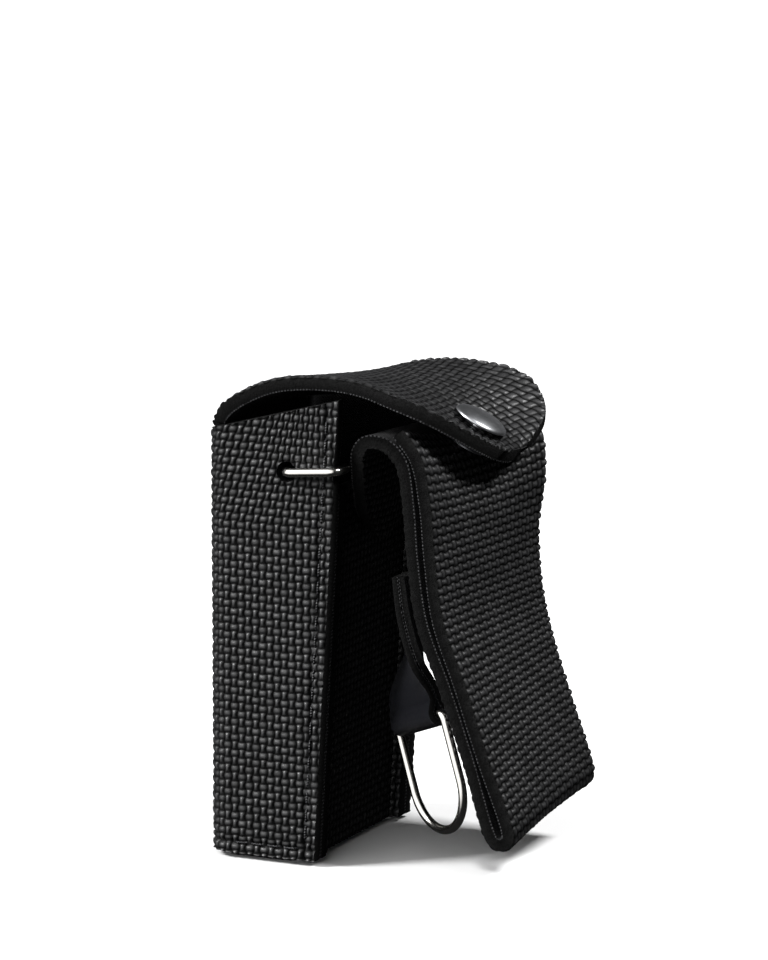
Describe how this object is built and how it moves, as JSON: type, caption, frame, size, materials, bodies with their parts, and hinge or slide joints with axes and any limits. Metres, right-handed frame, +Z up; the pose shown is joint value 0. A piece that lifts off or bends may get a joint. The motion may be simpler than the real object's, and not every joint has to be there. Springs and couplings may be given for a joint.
{
  "type": "carrying pouch",
  "caption": "Soft foam carrying pouch with a snap-closed flap, a folded belt strip in front, a hanging D-ring and wire strap rings.",
  "frame": {"origin": "middle of the footprint of the whole pouch with its belt strip, on the floor it stands on", "axes": "+Z up along the pouch's height, +X to the right seen from the front, front towards -Y"},
  "size_m": [0.0678, 0.0904, 0.1332],
  "materials": {
    "foam_laminate": "matte",
    "strapping": "satin",
    "dark_nickel": "polished",
    "nickel": "polished"
  },
  "bodies": {
    "case": {"rear_wrap": "foam_laminate", "front_panel": "foam_laminate", "bottom_panel": "foam_laminate", "belt_loop_leg": "foam_laminate"},
    "closing_flap": {"closing_flap": "foam_laminate", "snap_cap": "dark_nickel", "snap_socket": "dark_nickel"},
    "belt_flap": {"belt_flap": "foam_laminate", "snap_stud": "dark_nickel", "snap_eyelet": "dark_nickel"},
    "ring_tab": {"ring_tab": "strapping"},
    "d_ring": {"d_ring": "nickel"},
    "left_strap_ring": {"left_strap_ring": "nickel"},
    "right_strap_ring": {"right_strap_ring": "nickel"}
  },
  "joints": [
    {"name": "closing_flap_hinge", "type": "hinge", "parent": "case", "child": "closing_flap", "pos_m": [0, 0.0453, 0.1163], "axis": [-1, 0, 0], "range_deg": [0, 170]},
    {"name": "belt_flap_hinge", "type": "hinge", "parent": "case", "child": "belt_flap", "pos_m": [-0.0285, -0.0031, 0.1162], "axis": [0.9967, -0.0718, -0.0377], "range_deg": [0, 6], "stiffness_Nm_per_rad": 0.25},
    {"name": "ring_tab_hinge", "type": "hinge", "parent": "belt_flap", "child": "ring_tab", "pos_m": [-0.016, -0.0123, 0.0805], "axis": [0.9889, -0.1486, 0], "range_deg": [0, 5]},
    {"name": "d_ring_hinge", "type": "hinge", "parent": "ring_tab", "child": "d_ring", "pos_m": [-0.0194, -0.0131, 0.041], "axis": [0.5134, 0.7898, -0.3357], "range_deg": [0, 25]},
    {"name": "left_strap_ring_hinge", "type": "hinge", "parent": "case", "child": "left_strap_ring", "pos_m": [-0.029, 0.0205, 0.107], "axis": [1, 0, 0], "range_deg": [-4, 15]},
    {"name": "right_strap_ring_hinge", "type": "hinge", "parent": "case", "child": "right_strap_ring", "pos_m": [0.029, 0.0205, 0.107], "axis": [1, 0, 0], "range_deg": [-4, 15]}
  ]
}
